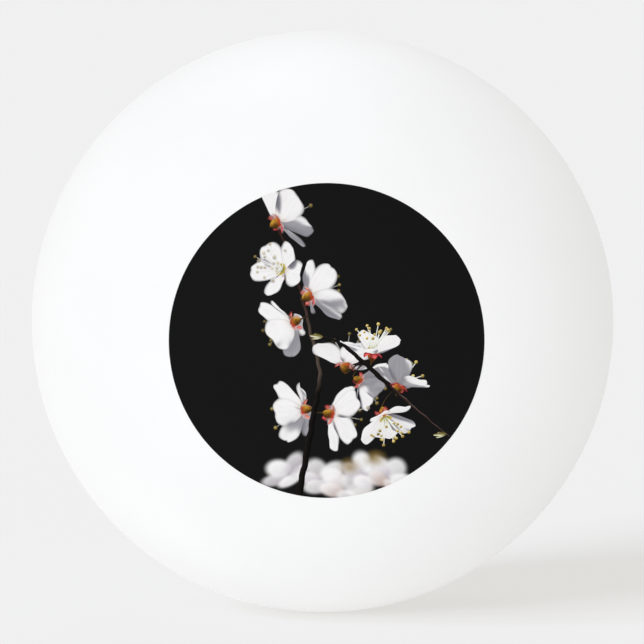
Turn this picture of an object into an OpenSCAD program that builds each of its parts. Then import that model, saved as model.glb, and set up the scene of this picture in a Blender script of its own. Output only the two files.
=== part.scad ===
// Table tennis ball: two half shells, the cement that joins them and a round print in six ink colours.
// Millimetres. The origin is the ball's centre, +Z is up and the print faces -Y.

/* [Ball] */
// Outside diameter of the ball
ball_d = 40; // [38:0.1:44]
// Wall thickness away from the seam
wall = 0.5; // [0.4:0.05:0.6]

/* [Seam] */
// Wall thickness at the seam, where the inside is straight instead of round
seam_wall = 0.75; // [0.7:0.05:1]
// Thickness of the rear half's outer lip, which laps over the tongue
lip_t = 0.38; // [0.3:0.02:0.44]
// Length of the front half's tongue, which centres it in the rear half
tongue_l = 0.8; // [0.5:0.1:1.5]
// Thickness of the cement film in the joint
cement_t = 0.03; // [0.02:0.01:0.05]
// Radius of the bead of cement squeezed out inside
bead_r = 0.12; // [0.05:0.01:0.2]
// Width of the fine groove along the outside of the seam
groove_w = 0.16; // [0.1:0.02:0.24]
// Depth of that groove
groove_depth = 0.05; // [0.02:0.01:0.08]

/* [Print] */
// Diameter of the round print, measured straight across
print_d = 21; // [18:0.5:24]
// Thickness of the ink film
ink_t = 0.02; // [0.015:0.005:0.04]

/* [Blossom] */
// Width of a petal as a share of its length
petal_share = 0.86; // [0.7:0.02:0.95]
// How much wider a petal is near its tip than near its base
petal_taper = 0.3; // [0:0.05:0.4]
// Angle by which petals rise out of the flower's plane
petal_rise = 18; // [0:2:30]
// Stamens in a flower that shows them
stamens = 13; // [5:1:20]
// Width of the main twig at its foot
twig_w = 0.42; // [0.2:0.02:0.6]

/* [Hidden] */
$fn = 96;

ball_r = ball_d / 2;
cavity_r = ball_r - wall;
seam_r = ball_r - seam_wall;
lap_r = ball_r - lip_t;
tongue_r = lap_r - cement_t;
groove_r = ball_r - groove_depth;
butt_z = cement_t / 2;
rebate_z = -tongue_l - cement_t;
print_r = print_d / 2;
beyond = 1;
far = ball_r + beyond;

SHELL_WHITE = [0.95, 0.95, 0.94];
CEMENT_WHITE = [0.88, 0.87, 0.83];
INK_BLACK = [0.09, 0.09, 0.09];
INK_WHITE = [0.96, 0.96, 0.97];
INK_RED = [0.82, 0.3, 0.24];
INK_OLIVE = [0.55, 0.42, 0.12];
INK_YELLOW = [0.85, 0.76, 0.38];
INK_BROWN = [0.24, 0.16, 0.13];

// The inks, from first printed to last.
GROUND = 0;
PETALS = 1;
SEPALS = 2;
CUPS = 3;
STAMENS = 4;
TWIGS = 5;

// Flowers as [x, y, petal length, heading, tilt, spin]. x and y are on the print, from its centre.
// A flower's axis leans by tilt from the viewer's direction, towards heading; past 90 it is seen from behind.
FLOWERS = [
    [-3.2, 8.0, 2.3, 32, 118, 12],
    [-2.9, 4.8, 2.1, 150, 44, 40],
    [-1.1, 3.2, 2.3, 24, 122, 0],
    [-2.3, 1.4, 2.2, 206, 120, 20],
    [1.2, -1.3, 2.2, 84, 112, 50],
    [2.2, -2.5, 1.9, 330, 116, 20],
    [3.0, -0.6, 2.0, 82, 76, 15],
    [4.8, -2.8, 2.0, 66, 108, 5],
    [-1.6, -4.4, 2.2, 186, 122, 30],
    [0.3, -4.7, 2.3, 352, 124, 8],
    [3.8, -4.8, 2.1, 286, 62, 55]
];
FAR_FLOWERS = [
    [-2.5, -8.9, 1.7, 120, 55, 25],
    [-0.4, -9.2, 1.7, 95, 45, 15],
    [1.2, -9.9, 1.8, 80, 45, 50],
    [2.6, -8.9, 1.6, 70, 40, 35],
    [4.1, -9.2, 1.7, 50, 50, 5]
];
X = 0;
Y = 1;
LENGTH = 2;
HEADING = 3;
TILT = 4;
SPIN = 5;
SIDE_ON = 90;
TURN = [0:24:336];
PETAL_COUNT = 5;
PETAL_STEP = 360 / PETAL_COUNT;
SEPAL_LENGTH = 0.34;
SEPAL_SHARE = 0.72;
CUP_DEPTH = 0.34;
CUP_WIDTH = 0.33;
CUP_DROP = 0.45;
EYE_SHARE = 0.2;
STAMEN_LONG = 0.95;
STAMEN_SHORT = 0.7;
STAMEN_SPREAD = 32;
ANTHER_R = 0.12;
FILAMENT_W = 0.06;

// Twigs as [x, y, width as a share of twig_w], from foot to tip, and how finely their curves are drawn.
MAIN_TWIG = [
    [-1.9, -10.6, 1], [-1.4, -7.6, 0.95], [-0.9, -4.6, 0.85], [-0.5, -2, 0.6],
    [-1.1, 0.7, 0.5], [-1.8, 3.6, 0.45], [-2.9, 6.8, 0.4], [-4.6, 10.2, 0.35]
];
SIDE_TWIG = [
    [8.2, -6.45, 0.14], [6.2, -4.7, 0.28], [4.4, -3.1, 0.55],
    [2.6, -1.4, 0.7], [0.8, 0.1, 0.45], [-0.5, 0.5, 0.22]
];
TWIG_STEPS = 4;
// Buds at the ends of the side twig, as [x, y, heading].
BUDS = [[7.95, -6.2, 186], [-0.3, 0.5, 178]];
BUD_L = 0.75;
BUD_W = 0.26;

function unit(v) = v / norm(v);

// Where a point of a flower, as [x, y, height along its axis], falls on the print.
function seen(f, p) = let (leaning = p[X] * cos(f[TILT]) + p[2] * sin(f[TILT]))
    [f[X] + leaning * cos(f[HEADING]) - p[Y] * sin(f[HEADING]),
     f[Y] + leaning * sin(f[HEADING]) + p[Y] * cos(f[HEADING])];

// A point of a flower, from how far out, how far across and how high it is on the spoke at an angle.
function on_spoke(angle, out, across, up) =
    [out * cos(angle) - across * sin(angle), out * sin(angle) + across * cos(angle), up];

// Outline of one egg-shaped petal or sepal, narrow at its base.
function leaf_outline(f, angle, length, share, rise) = [
    for (t = TURN)
        let (along = length * (1 - cos(t)) / 2,
             across = length * share / 2 * sin(t) * (1 - petal_taper * cos(t)))
        seen(f, on_spoke(angle, along * cos(rise), across, along * sin(rise)))
];

// Outline of the cup behind a flower, which hides the middle of one seen from behind.
function cup_outline(f) = let (deep = f[LENGTH] * CUP_DEPTH, wide = f[LENGTH] * CUP_WIDTH) [
    for (t = TURN) seen(f, [0, wide / 2 * sin(t), deep * (cos(t) / 2 - CUP_DROP)])
];

// Outline of the eye in the middle of a flower seen from in front.
function eye_outline(f) = let (r = f[LENGTH] * EYE_SHARE) [
    for (t = TURN) seen(f, [r * cos(t), r * sin(t), 0])
];

// Where the anther of one stamen falls. Every second stamen is shorter.
function anther_at(f, i) = let (reach = f[LENGTH] * (i % 2 == 0 ? STAMEN_SHORT : STAMEN_LONG))
    seen(f, on_spoke(f[SPIN] + i * 360 / stamens, reach * sin(STAMEN_SPREAD), 0, reach * cos(STAMEN_SPREAD)));

// A point at a share of the way from p[i] to p[i + 1] on the smooth curve through every point of p.
function on_curve(p, i, share) = let (
    a = p[max(i - 1, 0)], b = p[i], c = p[i + 1], d = p[min(i + 2, len(p) - 1)],
    bend = a * 2 - b * 5 + c * 4 - d,
    twist = b * 3 - a - c * 3 + d
) (b * 2 + (c - a) * share + bend * share * share + twist * share * share * share) / 2;

function smooth_path(p) = [
    for (i = [0:len(p) - 2], step = [0:TWIG_STEPS - 1]) on_curve(p, i, step / TWIG_STEPS),
    p[len(p) - 1]
];

// A point on one edge of the twig that follows a path, on the side of it that is 1 or -1.
function twig_edge(path, i, side) = let (
    ahead = path[min(i + 1, len(path) - 1)],
    behind = path[max(i - 1, 0)],
    across = unit([behind[Y] - ahead[Y], ahead[X] - behind[X]])
) [path[i][X], path[i][Y]] + across * side * path[i][2] * twig_w / 2;

// Turns the children, drawn with the print's middle at +Z and its top at +Y, to face -Y with the top up.
module face_front() rotate([90, 0, 0]) children();

module disc_below(z, r = far) translate([0, 0, z - far]) cylinder(r = r, h = far);

module disc_above(z, r = far) translate([0, 0, z]) cylinder(r = r, h = far);

// The whole wall: round outside, and inside round with a straight belt along the seam.
module ball_wall() difference() {
    sphere(r = ball_r);
    intersection() {
        sphere(r = cavity_r);
        cylinder(r = seam_r, h = ball_d, center = true);
    }
    seam_groove();
}

module seam_groove() rotate_extrude() polygon([
    [groove_r, -butt_z],
    [ball_r + groove_depth, -groove_w],
    [ball_r + groove_depth, groove_w],
    [groove_r, butt_z]
]);

// The half that carries the print, with the tongue that enters the rear half.
module front_half_shell() color(SHELL_WHITE) face_front() difference() {
    ball_wall();
    disc_below(-tongue_l);
    difference() {
        disc_below(butt_z);
        cylinder(r = tongue_r, h = 2 * far, center = true);
    }
}

// The other half, rebated inside to take the tongue.
module rear_half_shell() color(SHELL_WHITE) face_front() difference() {
    ball_wall();
    disc_above(-butt_z);
    disc_above(rebate_z, lap_r);
}

// The cement fills the joint's three faces and ends in a bead on the inside.
module seam_cement() color(CEMENT_WHITE) face_front() rotate_extrude() {
    polygon([
        [seam_r, rebate_z], [lap_r, rebate_z], [lap_r, -butt_z], [groove_r, -butt_z],
        [groove_r, butt_z], [tongue_r, butt_z], [tongue_r, -tongue_l], [seam_r, -tongue_l]
    ]);
    difference() {
        translate([seam_r, -tongue_l - butt_z]) circle(r = bead_r);
        translate([seam_r, -tongue_l - beyond]) square(2 * beyond);
    }
}

module petals_flat() for (f = concat(FLOWERS, FAR_FLOWERS), k = [1:PETAL_COUNT])
    polygon(leaf_outline(f, f[SPIN] + k * PETAL_STEP, f[LENGTH], petal_share, petal_rise));

module sepals_flat() for (f = FLOWERS, k = [1:PETAL_COUNT]) if (f[TILT] > SIDE_ON)
    polygon(leaf_outline(f, f[SPIN] + (k + 0.5) * PETAL_STEP, f[LENGTH] * SEPAL_LENGTH, SEPAL_SHARE, 0));

module cups_flat() for (f = FLOWERS) polygon(f[TILT] > SIDE_ON ? cup_outline(f) : eye_outline(f));

module stamens_flat() for (f = FLOWERS, i = [1:stamens]) if (f[TILT] < SIDE_ON) {
    translate(anther_at(f, i)) circle(r = ANTHER_R);
    filament_flat([f[X], f[Y]], anther_at(f, i));
}

module filament_flat(from, to) let (side = unit([from[Y] - to[Y], to[X] - from[X]]) * FILAMENT_W / 2)
    polygon([from + side, to + side, to - side, from - side]);

module buds_flat() for (b = BUDS)
    translate([b[X], b[Y]]) rotate(b[2]) translate([BUD_L / 2, 0]) polygon([
        for (t = TURN) [BUD_L / 2 * cos(t), BUD_W / 2 * sin(t)]
    ]);

module twig_flat(points) let (path = smooth_path(points), last = len(path) - 1) polygon([
    for (i = [0:last]) twig_edge(path, i, 1),
    for (i = [last:-1:0]) twig_edge(path, i, -1)
]);

module flat_shape(ink) {
    if (ink == GROUND) circle(r = print_r);
    if (ink == PETALS) petals_flat();
    if (ink == SEPALS) sepals_flat();
    if (ink == CUPS) cups_flat();
    if (ink == STAMENS) {
        stamens_flat();
        buds_flat();
    }
    if (ink == TWIGS) {
        twig_flat(MAIN_TWIG);
        twig_flat(SIDE_TWIG);
    }
}

// One ink's share of the film on the ball. The inks lie side by side, so later ones leave gaps in it.
module ink_film(ink) face_front() intersection() {
    difference() {
        sphere(r = ball_r + ink_t);
        sphere(r = ball_r);
    }
    translate([0, 0, ball_r / 2]) linear_extrude(ball_r) difference() {
        intersection() {
            circle(r = print_r);
            flat_shape(ink);
        }
        for (later = [ink + 1:1:TWIGS]) flat_shape(later);
    }
}

module print_ground() color(INK_BLACK) ink_film(GROUND);

module print_petals() color(INK_WHITE) ink_film(PETALS);

module print_sepals() color(INK_RED) ink_film(SEPALS);

module print_cups() color(INK_OLIVE) ink_film(CUPS);

module print_stamens() color(INK_YELLOW) ink_film(STAMENS);

module print_twigs() color(INK_BROWN) ink_film(TWIGS);

front_half_shell();
rear_half_shell();
seam_cement();
print_ground();
print_petals();
print_sepals();
print_cups();
print_stamens();
print_twigs();
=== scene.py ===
import math
from collections import namedtuple

import bpy
import numpy as np
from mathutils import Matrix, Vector
from mathutils.bvhtree import BVHTree


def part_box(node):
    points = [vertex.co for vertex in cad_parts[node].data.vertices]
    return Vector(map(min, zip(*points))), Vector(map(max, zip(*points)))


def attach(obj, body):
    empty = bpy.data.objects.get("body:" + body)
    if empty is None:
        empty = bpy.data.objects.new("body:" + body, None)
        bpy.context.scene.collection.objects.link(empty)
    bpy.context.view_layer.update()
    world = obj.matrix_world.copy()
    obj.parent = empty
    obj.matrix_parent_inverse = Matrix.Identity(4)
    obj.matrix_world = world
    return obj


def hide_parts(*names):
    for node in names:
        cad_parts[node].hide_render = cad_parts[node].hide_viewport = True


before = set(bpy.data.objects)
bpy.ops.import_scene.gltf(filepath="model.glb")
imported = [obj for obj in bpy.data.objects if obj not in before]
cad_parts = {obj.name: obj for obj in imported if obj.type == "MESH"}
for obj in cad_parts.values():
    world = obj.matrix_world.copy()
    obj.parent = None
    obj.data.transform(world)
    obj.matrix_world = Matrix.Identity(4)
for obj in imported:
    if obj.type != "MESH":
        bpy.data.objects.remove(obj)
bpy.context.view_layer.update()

MM = 0.001
shell_low, shell_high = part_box("rear_half_shell")
ground_low, ground_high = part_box("print_ground")
BALL_R = (shell_high.x - shell_low.x) / 2
PRINT_R = (ground_high.x - ground_low.x) / 2
INK_T = -ground_low.y - BALL_R
random = np.random.default_rng(7)

# ---------------------------------------------------------------------------- design of the blossom spray

# A flower's axis leans by tilt degrees from the viewer's direction, towards heading; past 90 it is seen from
# behind. Length is its petals', and blur is how far their edges fade.
Flower = namedtuple("Flower", "x y z length heading tilt spin blur")
FLOWERS = [
    Flower(-3.2, 8.0, -0.6, 2.3, 32, 118, 12, 0.22),
    Flower(-2.9, 4.8, -1.4, 2.1, 150, 44, 40, 0.20),
    Flower(-1.1, 3.2, 0.2, 2.3, 24, 122, 0, 0.20),
    Flower(-2.3, 1.4, 0.9, 2.2, 206, 120, 20, 0.18),
    Flower(1.2, -1.3, -1.2, 2.2, 84, 112, 50, 0.14),
    Flower(2.2, -2.5, -1.6, 1.9, 330, 116, 20, 0.14),
    Flower(3.0, -0.6, 1.0, 2.0, 82, 76, 15, 0.035),
    Flower(4.8, -2.8, 0.5, 2.0, 66, 108, 5, 0.035),
    Flower(-1.6, -4.4, -1.4, 2.2, 186, 122, 30, 0.20),
    Flower(0.3, -4.7, -0.8, 2.3, 352, 124, 8, 0.20),
    Flower(3.8, -4.8, 1.2, 2.1, 286, 62, 55, 0.035),
]
# The flowers that hang from the side twig, by their places in that list.
SIDE_BORNE = (4, 5, 6, 7, 10)
FAR_FLOWERS = [
    Flower(-2.5, -8.9, -3, 1.7, 120, 55, 25, 0.42),
    Flower(-0.4, -9.2, -3, 1.7, 95, 45, 15, 0.42),
    Flower(1.2, -9.9, -3, 1.8, 80, 45, 50, 0.42),
    Flower(2.6, -8.9, -3, 1.6, 70, 40, 35, 0.42),
    Flower(4.1, -9.2, -3, 1.7, 50, 50, 5, 0.42),
]
# The two cups that show among the far flowers, as (x, y).
FAR_CUPS = [(1.5, -8.3), (3.2, -7.8)]
# Twigs as (x, y, z, width as a share of TWIG_W), from end to end.
MAIN_TWIG = [
    (-1.9, -10.6, 2, 1), (-1.4, -7.6, 2, 0.95), (-0.9, -4.6, 1.6, 0.85), (-0.5, -2, 0, 0.6),
    (-1.1, 0.7, -3, 0.5), (-1.8, 3.6, -4, 0.45), (-2.9, 6.8, -4, 0.4), (-4.6, 10.2, -4, 0.35),
]
SIDE_TWIG = [
    (8.2, -6.45, 2.4, 0.14), (6.2, -4.7, 2.4, 0.28), (4.4, -3.1, 2.4, 0.55),
    (2.6, -1.4, 2.4, 0.7), (0.8, 0.1, 2.4, 0.45), (-0.5, 0.5, 2.4, 0.22),
]
# Parts into which a twig's curve is cut from one of its points to the next.
TWIG_STEPS = 10
# Buds as (x, y, heading, z), and their scales as (turn from the heading, length, z above the bud's).
BUDS = [(7.95, -6.2, 186, 2.5), (-0.3, 0.5, 178, 2.5)]
BUD_SCALES = [(-17, 0.60, 0), (13, 0.72, 0.1), (-3, 0.88, 0.2)]
TWIG_W = 0.42
STALK_W = 0.12
FILAMENT_W = 0.075

PETALS = 5
STAMENS = 19
STAMENS_BEHIND = 8
# A flower shows the inside of its cup up to the first of these tilts, and all its stamens up to the second.
SIDE_ON = 90
TURNED_AWAY = 100
# A petal's width as a share of its length, how much wider it is near its tip, the degrees by which it rises
# from the flower's plane, and how much one side stands above the other.
PETAL_SHARE = 0.86
PETAL_TAPER = 0.3
PETAL_RISE = 18
PETAL_TWIST = 0.12
# Other parts of a flower, as shares of its petals' length.
SEPAL_LENGTH = 0.25
CUP_R = 0.162
CUP_HALF_WALL = 0.003
CUP_DEPTH = 0.30
CUP_DROP = 0.02
EYE_R = 0.20
# A far petal is left out, being edge on, where its two half axes span less than this many square millimetres.
EDGE_ON = 0.08

# How deep the spray goes, and how far a pad's top rises on the ball for each millimetre towards the viewer.
DEEPEST = 5.0
MICRO_LIFT = 0.002 * MM
# The edges of a pad are sharp where its faces meet at more than this many degrees.
SHARP_ANGLE = 40

# The ways to the spray's sun, to the middle of its sky and away from its viewer, and a z behind all of it.
SUN = np.array([-0.42, 0.78, 0.46]) / np.linalg.norm([-0.42, 0.78, 0.46])
OVERHEAD = np.array([0, 0.2, 0.9])
AWAY = Vector((0, 0, -1))
BEHIND = -20
# A petal is pushed this far under a nearer one, and also where it only comes within the margin of it.
LAYER_GAP = 0.1
LAYER_MARGIN = 0.2
MARGIN_RING = [(0, 0)] + [
    (LAYER_MARGIN * math.cos(turn), LAYER_MARGIN * math.sin(turn)) for turn in np.arange(8) * math.pi / 4
]
# Lines to the light start this far from a leaf, and a line that has met a leaf goes on this far past it.
CLEAR_OF_LEAF = 0.05
PAST_LEAF = 0.001
# The places that are tried around a point, and the turn in radians from each to the next.
TRIED = 5
GOLDEN_ANGLE = 2.4

# Colours as linear red, green and blue.
BLACK = np.array([0.0068, 0.0068, 0.0068])
PETAL_WHITE = np.array([0.862, 0.848, 0.838])
PETAL_SHADE = np.array([0.15, 0.145, 0.175])
PETAL_FOOT_TINT = np.array([0.80, 0.70, 0.62])
FAR_WHITE = np.array([0.96, 0.945, 0.94])
# What far petals turn to away from the sun: grey, lilac and brown.
FAR_DIMS = np.array([[0.50, 0.48, 0.48], [0.36, 0.30, 0.37], [0.42, 0.27, 0.22]])
FAR_CUP_OCHRE = [0.30, 0.20, 0.05]
SEPAL_CRIMSON = [0.14, 0.006, 0.012]
SEPAL_RED = [0.62, 0.045, 0.070]
SEPAL_SALMON = [0.93, 0.30, 0.20]
CUP_SHADE = [0.050, 0.020, 0.005]
CUP_OCHRE = [0.56, 0.29, 0.035]
CUP_BROWN = [0.11, 0.050, 0.006]
CUP_RED = [0.55, 0.060, 0.028]
EYE_OLIVE = [0.10, 0.075, 0.008]
EYE_YELLOW = [0.52, 0.44, 0.07]
EYE_ORANGE = [0.62, 0.30, 0.10]
FILAMENT_GREEN = [0.45, 0.50, 0.18]
FILAMENT_WHITE = [0.88, 0.88, 0.82]
ANTHER_BROWN = np.array([0.30, 0.20, 0.03])
ANTHER_YELLOW = np.array([0.86, 0.70, 0.26])
STALK_SHADE = [0.020, 0.012, 0.006]
STALK_OLIVE = [0.14, 0.085, 0.020]
STALK_BARK = [0.020, 0.013, 0.010]
BUD_OLIVE = [0.16, 0.13, 0.03]
BUD_CREAM = [0.84, 0.84, 0.58]
MAIN_BARK_FOOT = [0.010, 0.008, 0.007]
MAIN_BARK_MIDDLE = [0.115, 0.085, 0.065]
MAIN_BARK_TIP = [0.055, 0.026, 0.020]
MAIN_SHINE_ENDS = [0.008, 0.007, 0.006]
MAIN_SHINE_MIDDLE = [0.10, 0.075, 0.06]
SIDE_BARK_LEFT = [0.012, 0.010, 0.009]
SIDE_BARK_RIGHT = [0.060, 0.032, 0.026]
SIDE_SHINE_LEFT = [0.012, 0.010, 0.008]
SIDE_SHINE_RIGHT = [0.62, 0.49, 0.46]

# ------------------------------------------------------------------------------- sheets and where they lie

# A sheet is one leaf, ribbon or disc of the spray: points (n, 3), colour (n, 4) as red, green, blue and how
# clearly the material's pattern shows, leaf (n, 3) as u, v and a seed for that pattern, and faces (m, 4).
Sheet = namedtuple("Sheet", "points colour leaf faces")


def mix(a, b, share):
    share = np.asarray(share)[..., None]
    return np.asarray(a) * (1 - share) + np.asarray(b) * share


def smooth(low, high, x):
    t = np.clip((x - low) / (high - low), 0, 1)
    return t * t * (3 - 2 * t)


def grid_faces(rows, columns):
    corner = (np.arange(rows - 1)[:, None] * columns + np.arange(columns - 1)[None, :]).ravel()
    return np.stack([corner, corner + 1, corner + columns + 1, corner + columns], -1)


def ring_faces(rows, columns):
    """Faces of a grid whose last column joins its first."""
    row = np.arange(rows - 1)[:, None] * columns
    column = np.arange(columns)[None, :]
    after = (column + 1) % columns
    corners = [row + column, row + after, row + columns + after, row + columns + column]
    return np.stack(corners, -1).reshape(-1, 4)


def grid_sheet(points, colour, u, v, seed=0.0, clear=1.0, faces_of=grid_faces):
    leaf = np.stack([u, v, np.full_like(u, seed)], -1)
    colour = np.column_stack([colour.reshape(-1, 3), np.full(u.size, clear)])
    return Sheet(points.reshape(-1, 3), colour, leaf.reshape(-1, 3), faces_of(*points.shape[:2]))


def ring_sheet(points, colour, out, turn, seed):
    """The sheet of a grid that goes round, from how far out and how far round each point is."""
    return grid_sheet(points, colour, out + turn * 0, turn / math.pi - 1 + out * 0, seed, faces_of=ring_faces)


def seen_areas(sheet):
    """Twice the area of each face as the viewer sees it, below zero where the face is turned away."""
    corner = sheet.points[sheet.faces][..., :2]
    a = corner[:, 2] - corner[:, 0]
    b = corner[:, 3] - corner[:, 1]
    return a[:, 0] * b[:, 1] - a[:, 1] * b[:, 0]


def grid_normals(points):
    across = np.cross(np.gradient(points, axis=0), np.gradient(points, axis=1))
    return across / np.maximum(np.linalg.norm(across, axis=-1, keepdims=True), 1e-9)


def in_view(flower, p):
    """Points of a flower with its axis along z, turned and moved to where the flower is in the spray."""
    t, h = math.radians(flower.tilt), math.radians(flower.heading)
    leaning = p[..., 0] * math.cos(t) + p[..., 2] * math.sin(t)
    x = flower.x + leaning * math.cos(h) - p[..., 1] * math.sin(h)
    y = flower.y + leaning * math.sin(h) + p[..., 1] * math.cos(h)
    z = flower.z + p[..., 2] * math.cos(t) - p[..., 0] * math.sin(t)
    return np.stack([x, y, z], -1)


def on_spoke(angle, out, across, up):
    """Points of a flower from how far out, across and up they are on the spoke at an angle in degrees."""
    a = math.radians(angle)
    x = out * math.cos(a) - across * math.sin(a)
    y = out * math.sin(a) + across * math.cos(a)
    return np.stack([x, y, up + x * 0], -1)


def leaf_grid(length, share, taper, rows, columns):
    """u from base to tip, v from edge to edge, and the half width at each point of an egg-shaped leaf."""
    end = 4  # degrees by which the outline stops short of a sharp point
    t = np.radians(np.linspace(end, 180 - end, rows))[:, None]
    v = np.linspace(-1, 1, columns)[None, :] + t * 0
    u = (1 - np.cos(t)) / 2 + v * 0
    half = length * share / 2 * np.sin(t) * (1 - taper * np.cos(t)) + v * 0
    return u, v, half


def petal_points(flower, k):
    """A spoon-shaped petal with a gently waved rim: its grid of points, u, v and half width."""
    length = flower.length * random.uniform(0.88, 1.08)
    share = PETAL_SHARE * random.uniform(0.86, 1.1)
    u, v, half = leaf_grid(length, share, PETAL_TAPER, rows=34, columns=25)
    phases = random.uniform(0, 2 * math.pi, 3)
    width = v * 2 * np.sqrt(u * (1 - u))
    round_rim = np.arctan2(width, 2 * u - 1)
    uneven = sum(np.sin(round_rim * n + phase) / n for n, phase in zip((2, 3, 5), phases))
    half = half * (1 + 0.05 * uneven)
    rise = math.radians(PETAL_RISE + random.uniform(-14, 14))
    waves = random.uniform(0.02, 0.06) * length
    phase = random.uniform(0, 2 * math.pi)
    notch = 1 - random.uniform(0.0, 0.05) * np.exp(-((width / 0.16) ** 2)) * smooth(0.6, 1, u)
    along = length * u * notch * (1 + 0.025 * uneven)
    bowl = length * (0.16 * u**2 + 0.10 * (v * np.sin(np.pi * u)) ** 2)
    ruffle = waves * np.sin(width * 5.2 + phase) * smooth(0.45, 1, u)
    out = along * math.cos(rise) + 0.06 * length
    up = along * math.sin(rise) + bowl + ruffle + PETAL_TWIST * v * half
    angle = flower.spin + k * 360 / PETALS + random.uniform(-8, 8)
    return in_view(flower, on_spoke(angle, out, v * half, up)), u, v, half


def tree_of(grids):
    """Grids of leaves as one tree, to find what a line through the spray meets."""
    points, faces, count = [], [], 0
    for grid in grids:
        points.append(grid.reshape(-1, 3))
        faces.append(grid_faces(*grid.shape[:2]) + count)
        count += grid.shape[0] * grid.shape[1]
    return BVHTree.FromPolygons(np.concatenate(points).tolist(), np.concatenate(faces).tolist())


def laid_in_order(grids):
    """A flower's petals with the farther ones pushed back, so that each lies wholly under the nearer ones."""
    layered, above = [None] * len(grids), []
    for i in sorted(range(len(grids)), key=lambda i: -grids[i][..., 2].mean()):
        flat = grids[i].reshape(-1, 3).copy()
        tree = tree_of(above) if above else None
        for shift in MARGIN_RING if tree else ():
            for p in flat:
                place = tree.ray_cast(Vector((p[0] + shift[0], p[1] + shift[1], BEHIND)), -AWAY)[0]
                if place:
                    p[2] = min(p[2], place.z - LAYER_GAP)
        layered[i] = flat.reshape(grids[i].shape)
        above.append(layered[i])
    return layered


# ------------------------------------------------------------------------------- sunlight in the spray


def scattered(direction, spread, count):
    rays = direction + random.normal(0, spread, (count, 3))
    return rays / np.linalg.norm(rays, axis=1, keepdims=True)


SUN_RAYS = scattered(SUN, 0.035, 6)
SKY_RAYS = scattered(OVERHEAD, 0.6, 6)


def clear_share(tree, points, normals, directions, reach):
    """Share of the directions in which nothing in the tree stands before each point."""
    flat, sides = points.reshape(-1, 3), normals.reshape(-1, 3)
    clear = np.zeros(len(flat))
    for direction in directions:
        way = Vector(direction)
        starts = flat + sides * np.sign(sides @ direction)[:, None] * CLEAR_OF_LEAF
        clear += [tree.ray_cast(Vector(start), way, reach)[0] is None for start in starts]
    return (clear / len(directions)).reshape(points.shape[:-1])


def softened(values, passes):
    """A grid of values, each evened out with its neighbours."""
    for _ in range(passes):
        edge = np.pad(values, 1, mode="edge")
        beside = edge[:-2, 1:-1] + edge[2:, 1:-1] + edge[1:-1, :-2] + edge[1:-1, 2:]
        values = (beside + 4 * values) / 8
    return values


def light_on(tree, points, blur):
    """How brightly the spray's sun and sky light thin leaves, which also glow when lit from behind."""
    normals = grid_normals(points)
    sun_side = normals @ SUN
    through = np.sign(sun_side) != np.sign(normals[..., 2])
    strength = np.abs(sun_side) * np.where(through, 0.55, 1)
    passes = 2 + round(blur * 30)
    sunny = softened(clear_share(tree, points, normals, SUN_RAYS, reach=7), passes)
    sky = softened(clear_share(tree, points, normals, SKY_RAYS, reach=3), passes + 2)
    return 0.40 * (0.30 + 0.70 * sky) + 0.95 * sunny * (0.45 + 0.55 * strength)


def meets_other(tree, start, own):
    """True if a line going away from the viewer meets a face of the tree that isn't among its own."""
    place, _, face, _ = tree.ray_cast(start, AWAY)
    while place and face in own:
        place, _, face, _ = tree.ray_cast(place + AWAY * PAST_LEAF, AWAY)
    return place is not None


def backed_share(tree, points, blur, own=range(0)):
    """Share of the places tried around each point where another petal is behind it or only just before it."""
    flat = points.reshape(-1, 3)
    backed = np.zeros(len(flat))
    for turn in np.arange(TRIED) * GOLDEN_ANGLE:
        shift = np.array([math.cos(turn) * blur * 0.6, math.sin(turn) * blur * 0.6, 0.3])
        backed += [meets_other(tree, Vector(p), own) for p in flat + shift]
    return (backed / TRIED).reshape(points.shape[:-1])


def haze_of(flower):
    """0 for a flower in focus, 1 for one out of focus."""
    return float(smooth(0.04, 0.12, flower.blur))


def hazy(tree, points, colour, flower, share):
    """Colour of an unfocused flower's small parts, fading into what lies behind by a share of 0 to 1."""
    beyond = mix(BLACK, PETAL_WHITE * 0.86, backed_share(tree, points, flower.blur))
    return mix(colour, beyond, share * haze_of(flower))


# ------------------------------------------------------------------------------------ parts of a flower


def petal_sheet(tree, grid, layer, flower, place):
    """A petal coloured as it stands in the spray, and laid at the depths of its layer."""
    points, u, v, half = grid
    faces = (points.shape[0] - 1) * (points.shape[1] - 1)
    own = range(place * faces, (place + 1) * faces)
    tone = smooth(0.05, 1.0, light_on(tree, points, flower.blur))
    colour = mix(PETAL_SHADE, PETAL_WHITE, tone)
    colour = mix(colour, colour * PETAL_FOOT_TINT, 0.8 * np.exp(-((u / 0.16) ** 2)))
    rim = np.minimum(half * (1 - np.abs(v)), flower.length * (1 - u) * 1.5)
    beyond = mix(BLACK, colour * 0.8, softened(backed_share(tree, points, flower.blur, own), 2))
    colour = mix(beyond, colour, smooth(-0.4 * flower.blur, flower.blur, rim))
    return grid_sheet(layer, colour, u, v, random.uniform(0, 50), 1 - 0.7 * haze_of(flower))


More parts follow.
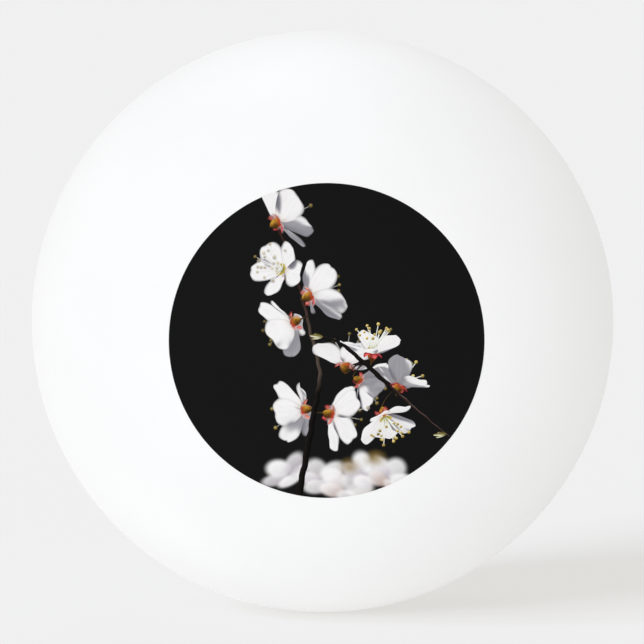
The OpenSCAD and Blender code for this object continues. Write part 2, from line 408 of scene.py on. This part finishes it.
def sepal_sheet(tree, flower, k):
    """A short round sepal behind the petals, crimson to salmon where the light comes through."""
    length = flower.length * SEPAL_LENGTH
    u, v, half = leaf_grid(length, share=0.98, taper=0.05, rows=12, columns=11)
    out = flower.length * 0.10 + length * u * 0.9
    up = -flower.length * (0.03 + 0.12 * u * u) + 0.16 * length * v * v
    points = in_view(flower, on_spoke(flower.spin + (k + 0.5) * 360 / PETALS, out, v * half, up))
    lit = 0.35 + 0.65 * np.abs(grid_normals(points) @ SUN)
    colour = mix(SEPAL_CRIMSON, SEPAL_RED, smooth(0.3, 1, lit))
    glow = random.uniform(0.35, 1.0) * np.exp(-(((u - 0.6) / 0.28) ** 2) - ((v - 0.15) / 0.55) ** 2)
    colour = mix(colour, SEPAL_SALMON, glow)
    colour = colour * (1 - 0.55 * smooth(0.5, 1, np.abs(v)))[..., None]
    rim = np.maximum(smooth(0.25, 1, np.abs(v)), smooth(0.65, 1, u))
    return grid_sheet(points, hazy(tree, points, colour, flower, 0.6 * rim), u, v, k)


def cup_sheet(tree, flower, side):
    """What is seen of the olive cup behind the petals, a bowl whose outside is side 1 and its inside -1."""
    s = np.linspace(0.02, 1, 12)[:, None]
    turn = np.linspace(0, 2 * math.pi, 28, endpoint=False)[None, :]
    ribs = 1 + 0.05 * np.cos(turn * 5) * s
    r = flower.length * (CUP_R + CUP_HALF_WALL * side) * np.sin(s * math.pi / 2) ** 0.55 * ribs
    up = flower.length * CUP_DEPTH * (s - 1) - flower.length * CUP_DROP
    points = in_view(flower, np.stack([r * np.cos(turn), r * np.sin(turn), up + turn * 0], -1))
    normals = grid_normals(points)
    facing = normals * np.sign(normals[..., 2])[..., None]
    lit = np.clip(facing @ SUN, 0, 1)
    colour = mix(CUP_SHADE, CUP_OCHRE, smooth(0.10, 1.0, lit))
    blotch = 0.5 + 0.5 * np.sin(turn * 3 + flower.x * 7 + s * 4) * np.sin(s * 9 + flower.y * 5 + turn)
    colour = mix(colour, CUP_BROWN, 0.80 * smooth(0.35, 0.9, blotch))
    colour = mix(colour, CUP_RED, 0.85 * smooth(0.42, 0.95, s + turn * 0) * (1 - 0.45 * lit))
    rim = 1 - smooth(0.0, 0.65, facing[..., 2])
    cup = ring_sheet(points, hazy(tree, points, colour, flower, 0.8 * rim), s, turn, flower.x)
    return cup._replace(faces=cup.faces[seen_areas(cup) * side > 0])


def eye_sheet(flower):
    """The inside of the cup, seen in the middle of a flower that faces the viewer."""
    s = np.linspace(0.02, 1, 9)[:, None]
    turn = np.linspace(0, 2 * math.pi, 24, endpoint=False)[None, :]
    r = flower.length * EYE_R * s
    up = flower.length * (0.10 + 0.05 * s * s)
    points = in_view(flower, np.stack([r * np.cos(turn), r * np.sin(turn), up + turn * 0], -1))
    lobes = 0.5 + 0.5 * np.cos(turn * 5)
    colour = mix(EYE_OLIVE, EYE_YELLOW, smooth(0.1, 0.9, s + turn * 0))
    colour = mix(colour, EYE_ORANGE, 0.5 * lobes * smooth(0.7, 1, s))
    return ring_sheet(points, colour, s, turn, flower.y)


def ribbon(path, widths, columns):
    """A strip along a path (n, 3): its grid of points, u along it, v across it, and which way is across."""
    ahead = np.gradient(path[:, :2], axis=0)
    across = np.stack([-ahead[:, 1], ahead[:, 0]], -1)
    across = across / np.maximum(np.linalg.norm(across, axis=1, keepdims=True), 1e-6)
    v = np.linspace(-1, 1, columns)[None, :] + np.zeros((len(path), 1))
    u = np.linspace(0, 1, len(path))[:, None] + v * 0
    flat = path[:, None, :2] + across[:, None, :] * (v * widths[:, None] / 2)[..., None]
    depth = path[:, None, 2:] + v[..., None] * 0
    return np.concatenate([flat, depth], -1), u, v, across


def anther(centre, r, dark, light):
    """A small round grain, brighter towards the sun: its points, colour, and place outwards and around."""
    turn, s = np.meshgrid(np.linspace(0, 2 * math.pi, 12, endpoint=False), np.linspace(0.05, 1, 4))
    x = r * s * np.cos(turn)
    y = r * s * np.sin(turn)
    points = np.stack([centre[0] + x, centre[1] + y, centre[2] + 0.1 + x * 0], -1)
    towards = (x * SUN[0] + y * SUN[1]) / r
    return points, mix(dark, light, smooth(-0.7, 0.8, towards)), s, turn


def stamen_sheets(tree, flower):
    """A flower's stamens, each a curved filament and the anther at its tip."""
    sheets = []
    t = np.linspace(0, 1, 7)
    count = STAMENS if flower.tilt < TURNED_AWAY else STAMENS_BEHIND
    for i in range(count):
        spread = math.radians(random.uniform(10, 46))
        reach = flower.length * random.uniform(0.62, 0.92)
        angle = flower.spin + i * 360 / count + random.uniform(-8, 8)
        out = flower.length * 0.05 + reach * t * math.sin(spread) * (0.8 + 0.3 * t)
        up = flower.length * 0.1 + reach * t * math.cos(spread)
        path = in_view(flower, on_spoke(angle, out, t * 0, up))
        grid, u, v, _ = ribbon(path, FILAMENT_W - 0.025 * t, 3)
        colour = mix(FILAMENT_GREEN, FILAMENT_WHITE, smooth(0, 0.35, u))
        colour = colour * (1 - 0.35 * smooth(0.2, 1, v))[..., None]
        colour = hazy(tree, grid, colour, flower, 0.45 + 0.4 * np.abs(v))
        sheets.append(grid_sheet(grid, colour, u, v, i))
        shade = random.uniform(0.35, 1.1)
        r = random.uniform(0.085, 0.115) * (1 + 0.4 * haze_of(flower))
        points, colour, s, turn = anther(path[-1], r, ANTHER_BROWN * shade, ANTHER_YELLOW * shade)
        sheets.append(ring_sheet(points, hazy(tree, points, colour, flower, 0.2 + 0.75 * s), s, turn, i))
    return sheets


# ------------------------------------------------------------------------------- twigs, stalks and buds


def smooth_path(points, steps):
    """The smooth curve through every point, as an array of the same columns."""
    p = np.array(points, float)
    rows = []
    for i in range(len(p) - 1):
        a, b, c, d = p[max(i - 1, 0)], p[i], p[i + 1], p[min(i + 2, len(p) - 1)]
        bend = 2 * a - 5 * b + 4 * c - d
        twist = 3 * b - a - 3 * c + d
        for s in np.arange(steps) / steps:
            rows.append((2 * b + (c - a) * s + bend * s * s + twist * s**3) / 2)
    return np.array(rows + [p[-1]])


def twig_sheet(path, bark, shine):
    """A twig lit from above, where bark and shine give its colour and its lit edge's at each point."""
    step = np.arange(len(path))
    wobble = 0.03 * np.sin(step * 1.7) + 0.02 * np.sin(step * 0.9)
    knots = 1 + 0.22 * np.maximum(0, np.sin(step * 0.55)) ** 8
    place = np.stack([path[:, 0] + wobble, path[:, 1], path[:, 2]], -1)
    grid, u, v, across = ribbon(place, path[:, 3] * TWIG_W * knots, 7)
    towards = (across @ SUN[:2])[:, None] * v
    round_light = np.clip(towards * 0.8 + np.sqrt(1 - np.minimum(v * v, 1)) * 0.45, 0, 1)
    edge = np.exp(-(((towards - 0.62) / 0.25) ** 2))
    colour = bark(grid) * (0.25 + 0.9 * round_light)[..., None] + shine(grid) * edge[..., None]
    return grid_sheet(grid, colour, u, v, seed=3.0)


def main_bark(grid):
    y = grid[..., 1]
    colour = mix(MAIN_BARK_FOOT, MAIN_BARK_MIDDLE, smooth(-3.4, -1.6, y))
    return mix(colour, MAIN_BARK_TIP, smooth(0.5, 3.5, y))


def main_shine(grid):
    y = grid[..., 1]
    return mix(MAIN_SHINE_ENDS, MAIN_SHINE_MIDDLE, smooth(-3.2, -1.5, y) * (1 - smooth(0.5, 3, y)))


def side_bark(grid):
    return mix(SIDE_BARK_LEFT, SIDE_BARK_RIGHT, smooth(3.6, 6.0, grid[..., 0]))


def side_shine(grid):
    return mix(SIDE_SHINE_LEFT, SIDE_SHINE_RIGHT, smooth(3.8, 5.6, grid[..., 0]))


def stalk_sheet(flower, twig):
    """The short stalk from a flower's cup to the nearest point of the twig that bears it."""
    foot = in_view(flower, np.array([0, 0, -0.27 * flower.length]))
    bend = in_view(flower, np.array([0, 0, -0.48 * flower.length]))
    end = twig[np.argmin(np.hypot(twig[:, 0] - bend[0], twig[:, 1] - bend[1])), :3]
    t = np.linspace(0, 1, 11)[:, None]
    path = (1 - t) ** 2 * foot + 2 * t * (1 - t) * bend + t**2 * end
    width = STALK_W * (0.75 + 0.35 * np.cos(2 * math.pi * t[:, 0])) * smooth(-0.08, 0.06, t[:, 0])
    grid, u, v, across = ribbon(path, width, 5)
    towards = (across @ SUN[:2])[:, None] * v
    colour = mix(mix(STALK_SHADE, STALK_OLIVE, smooth(-0.6, 0.9, towards)), STALK_BARK, smooth(0.4, 0.9, u))
    return grid_sheet(grid, colour, u, v, seed=5.0)


def bud_sheets(x, y, heading, z):
    """A young bud as a few pointed scales."""
    sheets = []
    for turn, size, rise in BUD_SCALES:
        u, v, half = leaf_grid(size, share=0.27, taper=-0.15, rows=12, columns=7)
        scale = on_spoke(heading + turn, u * size, v * half, z + rise)
        colour = mix(BUD_OLIVE, BUD_CREAM, smooth(-0.5, 0.8, v) * smooth(0, 0.6, u))
        colour = colour * (1 - 0.5 * smooth(0.6, 1, np.abs(v)))[..., None]
        sheets.append(grid_sheet(scale + [x, y, 0], colour, u, v, size))
    return sheets


# --------------------------------------------------------------------------------- ink laid on the ball


def on_ball(points, lift):
    """Print points, in millimetres, on a sphere that stands lift metres above the ball's surface."""
    x, z = points[:, 0] * MM, points[:, 1] * MM
    return np.stack([x, -np.sqrt((BALL_R + lift) ** 2 - x * x - z * z), z], -1)


def trimmed(sheet):
    """The part of a sheet inside the print's circle, with points just outside pulled in to it."""
    r = np.hypot(sheet.points[:, 0], sheet.points[:, 1])
    limit = PRINT_R / MM
    faces = sheet.faces[(r[sheet.faces] < limit).any(1)]
    used, where = np.unique(faces, return_inverse=True)
    points = sheet.points[used].copy()
    points[:, :2] *= np.minimum(1, limit / np.maximum(r[used], 1e-9))[:, None]
    return Sheet(points, sheet.colour[used], sheet.leaf[used], where.reshape(-1, 4))


def rim_edges(faces):
    """Directed edges that only one face uses."""
    edges = np.concatenate([faces[:, [i, (i + 1) % 4]] for i in range(4)])
    keys = np.sort(edges, 1)
    _, first, count = np.unique(keys, axis=0, return_index=True, return_counts=True)
    return edges[first[count == 1]]


def pad_parts(sheet, count):
    """One closed pad: top, bottom and the wall between, as points, faces, colours and leaf places."""
    sheet = trimmed(sheet)
    if not len(sheet.faces):
        return None
    faces = sheet.faces if seen_areas(sheet).sum() > 0 else sheet.faces[:, ::-1]
    n = len(sheet.points)
    lift = INK_T + MICRO_LIFT * (DEEPEST + sheet.points[:, 2])
    points = np.concatenate([on_ball(sheet.points, lift), on_ball(sheet.points, INK_T / 2)])
    edges = rim_edges(faces)
    walls = np.stack([edges[:, 1], edges[:, 0], edges[:, 0] + n, edges[:, 1] + n], -1)
    all_faces = np.concatenate([faces, faces[:, ::-1] + n, walls]) + count
    return points, all_faces, np.tile(sheet.colour, (2, 1)), np.tile(sheet.leaf, (2, 1))


def new_piece(node, points, faces, colour, leaf, material):
    """A piece in place of a node. Its points carry leaf, and ink, their colour's square root, which blends
    evenly."""
    name = f"{node}_film"
    mesh = bpy.data.meshes.new(name)
    mesh.from_pydata(points.tolist(), [], faces)
    ink = mesh.attributes.new("ink", "FLOAT_COLOR", "POINT")
    stored = np.column_stack([np.sqrt(np.maximum(colour[:, :3], 0)), colour[:, 3]])
    ink.data.foreach_set("color", stored.astype(np.float32).ravel())
    place = mesh.attributes.new("leaf", "FLOAT_VECTOR", "POINT")
    place.data.foreach_set("vector", leaf.astype(np.float32).ravel())
    mesh.materials.append(material)
    mesh.shade_smooth()
    mesh.set_sharp_from_angle(angle=math.radians(SHARP_ANGLE))
    piece = bpy.data.objects.new(name, mesh)
    bpy.context.scene.collection.objects.link(piece)
    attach(piece, "root")
    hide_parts(node)


def ink_piece(node, sheets, material):
    """The print's pads in one ink, as one piece in place of that ink's node."""
    parts, count = [], 0
    for sheet in sheets:
        pad = pad_parts(sheet, count)
        if pad:
            parts.append(pad)
            count += len(pad[0])
    points, faces, colour, leaf = (np.concatenate(column) for column in zip(*parts))
    new_piece(node, points, faces.tolist(), colour, leaf, material)


def add_far_petal(colour, flower, k, x, y):
    """Colours of the ground ink at x, y with an oval petal of a far flower blurred over them."""
    angle = flower.spin + k * 360 / PETALS
    length = flower.length * random.uniform(0.85, 1.1)
    middle, tip, side = (
        in_view(flower, on_spoke(angle, length * out, length * across, length * up))[:2]
        for out, across, up in ((0.55, 0, 0.15), (1.1, 0, 0.3), (0.55, 0.46, 0.15))
    )
    axes = np.column_stack([tip - middle, side - middle])
    if abs(np.linalg.det(axes)) < EDGE_ON:
        return colour
    from_x, from_y = x - middle[0], y - middle[1]
    along, across = np.linalg.solve(axes, np.stack([from_x, from_y]))
    edge = flower.blur / length * 1.3
    cover = (1 - smooth(1 - edge, 1 + edge, np.hypot(along, across))) ** 1.8
    sunny = smooth(-1.2, 0.9, from_x * SUN[0] + from_y * SUN[1] + random.uniform(-0.4, 0.6))
    dim = FAR_DIMS[random.integers(len(FAR_DIMS))]
    return mix(colour, mix(dim, FAR_WHITE, sunny), cover * random.uniform(0.75, 1))


def far_blossoms(x, y):
    """Colour of the ground ink: black, with white blossoms far out of focus along its lower edge."""
    colour = np.zeros((len(x), 3)) + BLACK
    for flower in FAR_FLOWERS:
        for k in range(PETALS):
            colour = add_far_petal(colour, flower, k, x, y)
    for cup_x, cup_y in FAR_CUPS:
        cover = 1 - smooth(0, 0.8, np.hypot(0.8 * (x - cup_x), y - cup_y))
        colour = mix(colour, FAR_CUP_OCHRE, 0.8 * cover)
    return colour


def disc_points(rings, segments):
    """A disc as wide as the print, as its middle and then its rings, outwards."""
    turn = np.linspace(0, 2 * math.pi, segments, endpoint=False)
    r = np.linspace(0, 1, rings + 1)[1:] * PRINT_R / MM
    x = np.concatenate([[0], np.outer(r, np.cos(turn)).ravel()])
    y = np.concatenate([[0], np.outer(r, np.sin(turn)).ravel()])
    return np.stack([x, y, x * 0], -1)


def disc_faces(rings, segments):
    """Faces of such a disc."""
    start = 1 + np.arange(rings)[:, None] * segments
    i = np.arange(segments)[None, :]
    j = (i + 1) % segments
    quads = np.stack([start[:-1] + i, start[1:] + i, start[1:] + j, start[:-1] + j], -1).reshape(-1, 4)
    return [(0, 1 + k, 1 + (k + 1) % segments) for k in range(segments)] + [tuple(q) for q in quads.tolist()]


def ground_piece(material):
    """The black disc of ink, closed, with rings of points fine enough to carry the far blossoms."""
    segments, top_rings, under_rings = 600, 120, 40
    top, under = disc_points(top_rings, segments), disc_points(under_rings, segments)
    flat = np.concatenate([top, under])
    points = np.concatenate([on_ball(top, INK_T), on_ball(under, 0)])
    under_faces = [tuple(v + len(top) for v in reversed(f)) for f in disc_faces(under_rings, segments)]
    upper, lower = len(top) - segments, len(flat) - segments
    wall = []
    for k in range(segments):
        after = (k + 1) % segments
        wall.append((upper + k, lower + k, lower + after, upper + after))
    faces = disc_faces(top_rings, segments) + under_faces + wall
    colour = np.column_stack([far_blossoms(flat[:, 0], flat[:, 1]), np.ones(len(flat))])
    new_piece("print_ground", points, faces, colour, flat, material)


# -------------------------------------------------------------------------------------------- materials

# Colours for nodes, as linear red, green, blue and alpha.
SHELL_WHITE = (0.91, 0.911, 0.907, 1)
SHELL_CLOUD = (0.925, 0.926, 0.924, 1)
# Painted light: the shell's colour turns to this towards its outline, in place of light through the thin
# shell.
SHELL_OUTLINE_PAINTED_LIGHT = (0.965, 0.965, 0.96, 1)
CEMENT_GREY = (0.70, 0.69, 0.64, 1)
CEMENT_CREAM = (0.82, 0.81, 0.77, 1)
VEIN_TINT = (0.42, 0.40, 0.47, 1)
LEAF_CLOUD_TINT = (0.62, 0.60, 0.66, 1)
GRAIN_TINT = (0.5, 0.5, 0.5, 1)
FLOOR_GREY = (0.1, 0.1, 0.1, 1)
FLOOR_GLOW_WHITE = (1, 0.989, 0.955, 1)
FLOOR_GLOW = 0.649


class Nodes:
    """A material and short calls for adding nodes to it."""

    def __init__(self, name):
        self.material = bpy.data.materials.new(name)
        self.material.use_nodes = True
        self.tree = self.material.node_tree
        self.shader = self.tree.nodes["Principled BSDF"]
        self.place = self.add("ShaderNodeTexCoord").outputs["Object"]

    def add(self, kind, **settings):
        node = self.tree.nodes.new(kind)
        for key, value in settings.items():
            setattr(node, key, value)
        return node

    def put(self, value, socket):
        if isinstance(value, bpy.types.NodeSocket):
            self.tree.links.new(value, socket)
        else:
            socket.default_value = value

    def math(self, operation, a, b=0.0):
        node = self.add("ShaderNodeMath", operation=operation)
        self.put(a, node.inputs[0])
        self.put(b, node.inputs[1])
        return node.outputs[0]

    def noise(self, scale, detail, roughness=0.5, vector=None):
        """Noise whose grains are scale metres across, or, over a vector of its own, scale to each unit."""
        node = self.add("ShaderNodeTexNoise")
        self.put(vector or self.place, node.inputs["Vector"])
        self.put(scale if vector else 1 / scale, node.inputs["Scale"])
        self.put(detail, node.inputs["Detail"])
        self.put(roughness, node.inputs["Roughness"])
        return node.outputs["Fac"]

    def span(self, value, low, high, to_low, to_high):
        node = self.add("ShaderNodeMapRange")
        for socket, v in zip(node.inputs, (value, low, high, to_low, to_high)):
            self.put(v, socket)
        return node.outputs[0]

    def blend(self, share, a, b, kind="MIX"):
        node = self.add("ShaderNodeMix", data_type="RGBA", blend_type=kind)
        self.put(share, node.inputs[0])
        self.put(a, node.inputs[6])
        self.put(b, node.inputs[7])
        return node.outputs[2]

    def bump(self, height, depth):
        node = self.add("ShaderNodeBump")
        self.put(height, node.inputs["Height"])
        self.put(depth, node.inputs["Distance"])
        self.put(1.0, node.inputs["Strength"])
        return node.outputs[0]

    def finish(self, **inputs):
        for name, value in inputs.items():
            self.put(value, self.shader.inputs[name.replace("_", " ")])
        return self.material


def shell_material(name):
    """Matt white plastic, lapped to a very fine even texture, with painted light that makes it a little
    lighter towards its outline, in place of light coming through the thin shell.
    """
    n = Nodes(name)
    clouds = n.noise(9 * MM, detail=3)
    grain = n.noise(0.11 * MM, detail=2, roughness=0.6)
    base = n.blend(n.span(clouds, 0.35, 0.65, 0, 1), SHELL_WHITE, SHELL_CLOUD)
    # Painted light: the colour grows lighter where the surface turns away from the viewer, towards the
    # outline.
    facing = n.add("ShaderNodeLayerWeight")
    n.put(0.3, facing.inputs["Blend"])
    base = n.blend(n.span(facing.outputs["Facing"], 0.3, 1.0, 0, 1), base, SHELL_OUTLINE_PAINTED_LIGHT)
    rough = n.span(grain, 0.3, 0.7, 0.46, 0.58)
    texture = n.bump(grain, 0.0016 * MM)
    return n.finish(Base_Color=base, Roughness=rough, Normal=texture, Specular_IOR_Level=0.28)


def cement_material():
    n = Nodes("dried_cement")
    lumps = n.noise(0.6 * MM, detail=4, roughness=0.6)
    base = n.blend(lumps, CEMENT_GREY, CEMENT_CREAM)
    rough = n.span(lumps, 0.3, 0.7, 0.35, 0.6)
    return n.finish(Base_Color=base, Roughness=rough, Normal=n.bump(lumps, 0.01 * MM), Specular_IOR_Level=0.4)


def with_veins(n, ink, colour, strength):
    """A colour broken by long wandering veins, clearest in the middle of a leaf, and by soft clouds."""
    leaf = n.add("ShaderNodeAttribute", attribute_name="leaf").outputs["Vector"]
    parts = n.add("ShaderNodeSeparateXYZ")
    n.put(leaf, parts.inputs[0])
    u, v = parts.outputs[0], parts.outputs[1]
    wander = n.math("MULTIPLY", n.noise(2.3, detail=2, vector=leaf), 3.0)
    waves = n.math("SINE", n.math("ADD", n.math("MULTIPLY", v, 16.0), wander))
    lines = n.span(waves, 0.2, 1.0, 0, 1)
    middle = n.span(n.math("ABSOLUTE", v), 0.35, 0.95, 1, 0)
    fade = n.math("MULTIPLY", middle, n.span(u, 0.15, 0.9, 1.0, 0.35))
    clear = n.math("MULTIPLY", ink.outputs["Alpha"], strength)
    share = n.math("MULTIPLY", n.math("MULTIPLY", lines, fade), clear)
    colour = n.blend(share, colour, VEIN_TINT, "MULTIPLY")
    cloud = n.span(n.noise(3.1, detail=3, roughness=0.55, vector=leaf), 0.4, 0.75, 0, strength)
    return n.blend(cloud, colour, LEAF_CLOUD_TINT, "MULTIPLY")


def ink_material(name, grain, veins=0.0):
    """Matt printing ink in the mesh's own colour, broken by fine veins on leaves and by printed grain."""
    n = Nodes(name)
    ink = n.add("ShaderNodeAttribute", attribute_name="ink")
    colour = n.blend(1.0, ink.outputs["Color"], ink.outputs["Color"], "MULTIPLY")
    dots = n.noise(0.07 * MM, detail=1)
    if veins:
        colour = with_veins(n, ink, colour, veins)
    colour = n.blend(n.span(dots, 0.3, 0.7, 0, grain), colour, GRAIN_TINT, "MULTIPLY")
    rough = n.span(dots, 0.3, 0.7, 0.57, 0.67)
    texture = n.bump(dots, 0.0008 * MM)
    return n.finish(Base_Color=colour, Roughness=rough, Normal=texture, Specular_IOR_Level=0.03)


def floor_material():
    """A pale sheet that glows, so that the ball's shadow stays faint, and is clear from below."""
    n = Nodes("pale_floor")
    n.finish(Base_Color=FLOOR_GREY, Roughness=0.9, Specular_IOR_Level=0.0,
             Emission_Color=FLOOR_GLOW_WHITE, Emission_Strength=FLOOR_GLOW)
    clear = n.add("ShaderNodeBsdfTransparent")
    side = n.add("ShaderNodeNewGeometry")
    choose = n.add("ShaderNodeMixShader")
    n.put(side.outputs["Backfacing"], choose.inputs[0])
    n.put(n.shader.outputs[0], choose.inputs[1])
    n.put(clear.outputs[0], choose.inputs[2])
    n.put(choose.outputs[0], n.tree.nodes["Material Output"].inputs["Surface"])
    return n.material


# --------------------------------------------------------------------------------------- build the ball

petal_grids = [petal_points(flower, k) for flower in FLOWERS for k in range(PETALS)]
leaves = tree_of([grid[0] for grid in petal_grids])
petals = []
for i, flower in enumerate(FLOWERS):
    grids = petal_grids[i * PETALS : (i + 1) * PETALS]
    layers = laid_in_order([grid[0] for grid in grids])
    for k in range(PETALS):
        petals.append(petal_sheet(leaves, grids[k], layers[k], flower, i * PETALS + k))
open_flowers = [flower for flower in FLOWERS if flower.tilt < SIDE_ON]
main_path = smooth_path(MAIN_TWIG, TWIG_STEPS)
side_path = smooth_path(SIDE_TWIG, TWIG_STEPS)

ground_piece(ink_material("black_ink", grain=0.12))
ink_piece("print_petals", petals, ink_material("white_ink", grain=0.03, veins=0.16))
ink_piece(
    "print_sepals",
    [sepal_sheet(leaves, flower, k) for flower in FLOWERS for k in range(PETALS)],
    ink_material("red_ink", grain=0.08, veins=0.2),
)
ink_piece(
    "print_cups",
    [cup_sheet(leaves, flower, side=1) for flower in FLOWERS]
    + [cup_sheet(leaves, flower, side=-1) for flower in open_flowers]
    + [eye_sheet(flower) for flower in open_flowers],
    ink_material("olive_ink", grain=0.12),
)
ink_piece(
    "print_stamens",
    [sheet for flower in FLOWERS for sheet in stamen_sheets(leaves, flower)]
    + [sheet for bud in BUDS for sheet in bud_sheets(*bud)],
    ink_material("yellow_ink", grain=0.08),
)
ink_piece(
    "print_twigs",
    [twig_sheet(main_path, main_bark, main_shine), twig_sheet(side_path, side_bark, side_shine)]
    + [stalk_sheet(flower, side_path if i in SIDE_BORNE else main_path) for i, flower in enumerate(FLOWERS)],
    ink_material("brown_ink", grain=0.2),
)

for node, material in (
    ("front_half_shell", shell_material("front_shell_white")),
    ("rear_half_shell", shell_material("rear_shell_white")),
    ("seam_cement", cement_material()),
):
    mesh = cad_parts[node].data
    mesh.materials.clear()
    mesh.materials.append(material)

# ----------------------------------------------------------------------------- floor, light and camera

FLOOR_SIZE = 8.0
STUDIO_WHITE = (1, 0.989, 0.972, 1)
STUDIO_STRENGTH = 0.714
WHITE = (1, 1, 1)
COOL = (0.86, 0.90, 1)
FAINT_BLUE = (0.96, 0.94, 1)
BLUE = (0.725, 0.817, 1)
# Degrees that a light spans in the sky.
SOFT = 30
LESS_SOFT = 12
CAMERA_AWAY = 0.5
CAMERA_AZIMUTH = -0.94
CAMERA_ELEVATION = 4.31
CAMERA_NEAR, CAMERA_FAR = 0.05, 20
# As shares of the picture's width.
BALL_WIDTH_SHARE = 0.903
SHIFT_X, SHIFT_Y = -0.00076, -0.00085


def aimed(name, data, azimuth, elevation, away=0.0):
    """An object that faces the ball's middle. Azimuth 0 is in front of the print, and 90 is to its right."""
    a, e = math.radians(azimuth), math.radians(elevation)
    back = Vector((math.sin(a) * math.cos(e), -math.cos(a) * math.cos(e), math.sin(e)))
    thing = bpy.data.objects.new(name, data)
    thing.location = back * away
    thing.rotation_mode = "QUATERNION"
    thing.rotation_quaternion = back.to_track_quat("Z", "Y")
    bpy.context.scene.collection.objects.link(thing)
    return thing


def far_light(name, azimuth, elevation, strength, colour=WHITE, soft=SOFT, only=None, through=None):
    """A far light, which may reach one collection only, or pass through what a collection excludes."""
    light = bpy.data.lights.new(name, "SUN")
    light.energy = strength
    light.color = colour
    light.angle = math.radians(soft)
    lamp = aimed(name, light, azimuth, elevation)
    if only:
        lamp.light_linking.receiver_collection = only
    if through:
        lamp.light_linking.blocker_collection = through


def collection_of(name, thing):
    collection = bpy.data.collections.new(name)
    collection.objects.link(thing)
    return collection


def new_floor():
    """The level floor on which the ball rests."""
    far = FLOOR_SIZE / 2
    corners = [(-far, -far, -BALL_R), (far, -far, -BALL_R), (far, far, -BALL_R), (-far, far, -BALL_R)]
    mesh = bpy.data.meshes.new("floor")
    mesh.from_pydata(corners, [], [(0, 1, 2, 3)])
    mesh.materials.append(floor_material())
    floor = bpy.data.objects.new("floor", mesh)
    bpy.context.scene.collection.objects.link(floor)
    return floor


def light_studio(floor):
    world = bpy.data.worlds.new("studio")
    world.use_nodes = True
    background = world.node_tree.nodes["Background"]
    background.inputs["Color"].default_value = STUDIO_WHITE
    background.inputs["Strength"].default_value = STUDIO_STRENGTH
    bpy.context.scene.world = world
    far_light("key", -28, 20, 0.706, COOL)
    far_light("front", 10, 8, 0.446)
    far_light("rear_side", -120, 15, 0.28)
    far_light("rear_high", 180, 60, 0.525, COOL)
    # The floor's glow lights the ball's underside too. This light adds to it, passing through the floor.
    see_through = collection_of("see_through", floor)
    see_through.collection_objects[0].light_linking.link_state = "EXCLUDE"
    far_light("underside", -130, -50, 0.33, through=see_through)
    # The ball's soft shadow is made by slightly blue lights that reach the floor alone, so it looks warm.
    floor_only = collection_of("floor_only", floor)
    far_light("shadow_low", -40, 8, 12.87, FAINT_BLUE, LESS_SOFT, only=floor_only)
    far_light("shadow_middle", -50, 16, 5.63, BLUE, LESS_SOFT, only=floor_only)
    far_light("shadow_high", -60, 28, 3.41, BLUE, LESS_SOFT, only=floor_only)


def new_camera():
    """A camera in front of the print, in whose picture the ball is BALL_WIDTH_SHARE of the width."""
    camera = bpy.data.cameras.new("camera")
    outline = math.tan(math.asin(BALL_R / CAMERA_AWAY))
    camera.lens = camera.sensor_width * BALL_WIDTH_SHARE / (2 * outline)
    camera.shift_x, camera.shift_y = SHIFT_X, SHIFT_Y
    camera.clip_start, camera.clip_end = CAMERA_NEAR, CAMERA_FAR
    return aimed("camera", camera, CAMERA_AZIMUTH, CAMERA_ELEVATION, CAMERA_AWAY)


light_studio(new_floor())
bpy.context.scene.camera = new_camera()
bpy.context.scene.view_settings.view_transform = "Standard"
